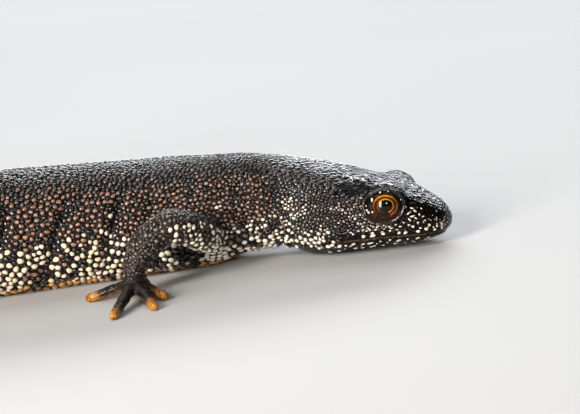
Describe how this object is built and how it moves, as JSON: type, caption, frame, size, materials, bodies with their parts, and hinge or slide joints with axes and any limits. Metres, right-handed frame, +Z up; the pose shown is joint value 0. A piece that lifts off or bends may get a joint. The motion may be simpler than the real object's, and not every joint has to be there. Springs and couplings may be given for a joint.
{
  "type": "great crested newt",
  "caption": "Still, life-size great crested newt in its land phase, lying on its belly with limbs spread, the head turned a little to its right and the tail curved.",
  "frame": {"origin": "on the floor, under the middle of the newt's bounding box", "axes": "+X towards the snout, +Y to the newt's left, +Z up"},
  "size_m": [0.1304, 0.0474, 0.012],
  "materials": {
    "dark_skin": "Moist, granular near-black brown skin with a soft sheen, set with round warts.",
    "throat_skin": "Moist dark skin of the lips and throat, closely dotted with cream-white warts.",
    "tail_skin": "Moist dark brown skin with an orange lower edge.",
    "leg_skin": "Moist, finely granular slate-grey skin.",
    "digit_skin": "Satin slate-grey skin that turns yellow-orange towards the tips of the digits.",
    "wart_pale": "Moist warts, cream-white on the flanks and lips, brownish pink higher up.",
    "eye_gold": "Wet eye with a gold and dark orange iris round a black pupil."
  },
  "bodies": {
    "root": {"head": "dark_skin", "lower_jaw": "throat_skin", "left_eye": "eye_gold", "right_eye": "eye_gold", "neck": "dark_skin", "trunk_front": "dark_skin", "trunk_rear": "dark_skin", "hips": "dark_skin", "tail_base": "tail_skin", "tail_middle": "tail_skin", "tail_rear": "tail_skin", "tail_tip": "tail_skin", "right_upper_arm": "leg_skin", "right_forearm": "leg_skin", "right_hand": "digit_skin", "left_upper_arm": "leg_skin", "left_forearm": "leg_skin", "left_hand": "digit_skin", "right_thigh": "leg_skin", "right_shank": "leg_skin", "right_foot": "digit_skin", "left_thigh": "leg_skin", "left_shank": "leg_skin", "left_foot": "digit_skin"}
  },
  "joints": []
}
